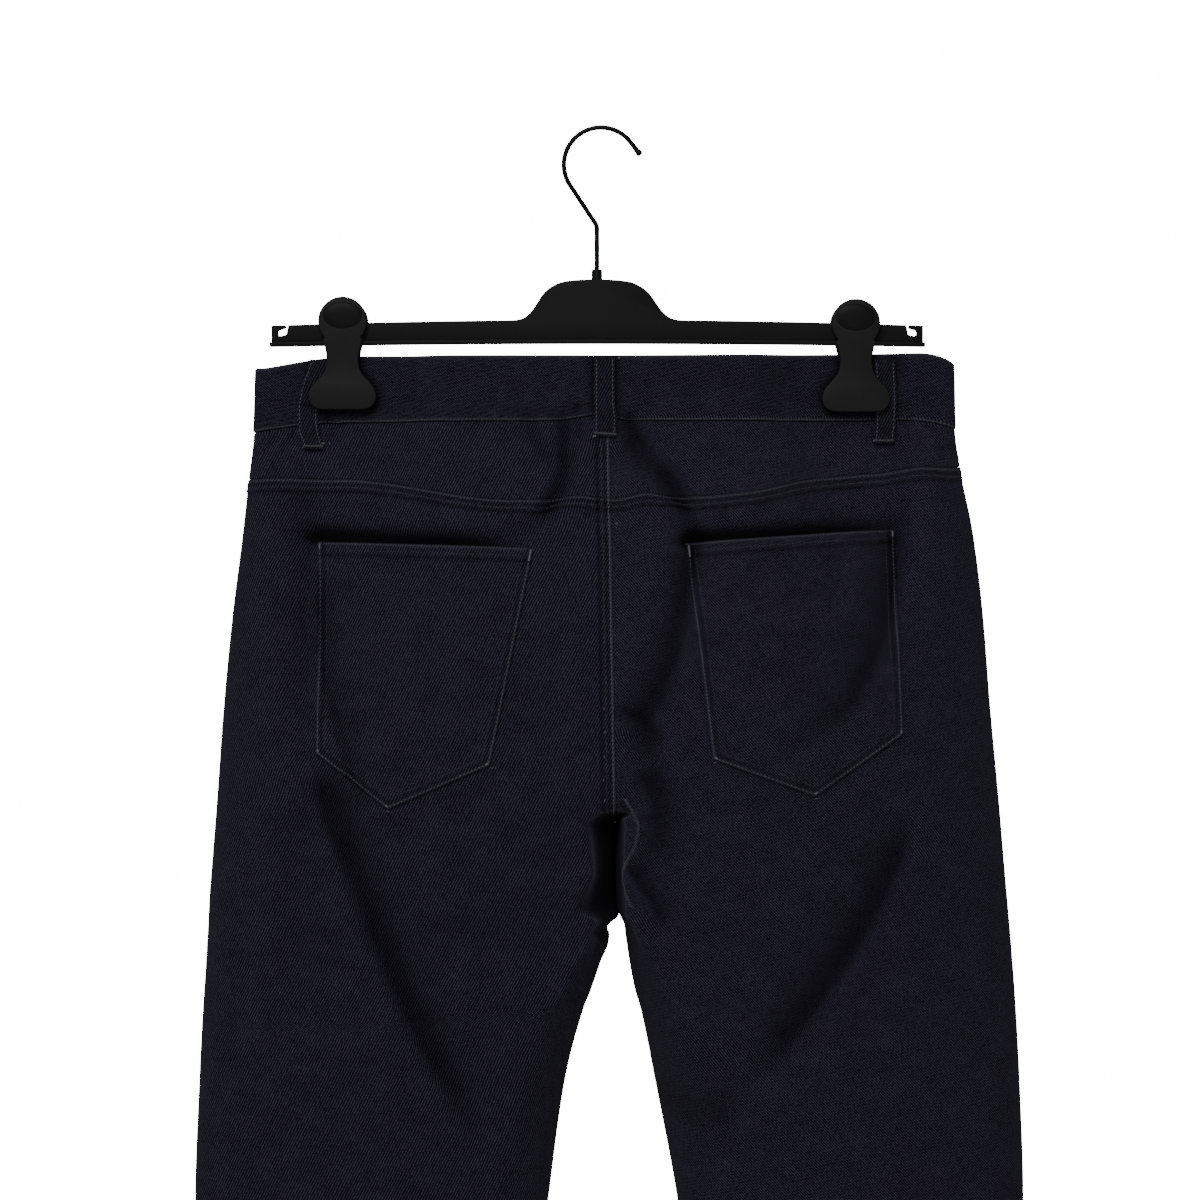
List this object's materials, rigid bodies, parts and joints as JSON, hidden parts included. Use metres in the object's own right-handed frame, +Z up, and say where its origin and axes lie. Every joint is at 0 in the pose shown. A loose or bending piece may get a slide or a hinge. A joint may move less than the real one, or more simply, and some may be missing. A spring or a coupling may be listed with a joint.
{
  "type": "tapered jeans on a clip hanger",
  "caption": "Tapered denim jeans hanging by the waistband from a clip hanger with a wire hook, with yokes, patch pockets, belt loops, a waist button and a fly.",
  "frame": {"origin": "the inner apex of the hanger's hook, where it bears on its rail, in the hanger's middle plane", "axes": "+Z up; +X to the right as one faces the back of the jeans, which is the wearer's right; +Y out of the front of the jeans"},
  "size_m": [0.5132, 0.1095, 1.2481],
  "materials": {
    "indigo_denim": "heavy indigo twill, unwashed, nearly black",
    "black_plastic": "moulded, satin",
    "black_steel": "black coated wire",
    "dark_metal": "dark aged metal"
  },
  "bodies": {
    "root": {"back_left": "indigo_denim", "back_right": "indigo_denim", "front_left": "indigo_denim", "front_right": "indigo_denim", "back_left_lower": "indigo_denim", "back_right_lower": "indigo_denim", "front_left_lower": "indigo_denim", "front_right_lower": "indigo_denim", "front_left_thigh": "indigo_denim", "front_right_thigh": "indigo_denim", "yoke_left": "indigo_denim", "yoke_right": "indigo_denim", "back_pocket_left": "indigo_denim", "back_pocket_right": "indigo_denim", "pocket_facing_left": "indigo_denim", "pocket_facing_right": "indigo_denim", "waistband": "indigo_denim", "fly": "indigo_denim", "belt_loop_back_centre": "indigo_denim", "belt_loop_back_left": "indigo_denim", "belt_loop_back_right": "indigo_denim", "belt_loop_front_left": "indigo_denim", "belt_loop_front_right": "indigo_denim", "hanger_bar": "black_plastic", "clip_left_back_jaw": "black_plastic", "clip_left_front_jaw": "black_plastic", "clip_right_back_jaw": "black_plastic", "clip_right_front_jaw": "black_plastic", "hanger_hook": "black_steel", "waist_button": "dark_metal"}
  },
  "joints": []
}
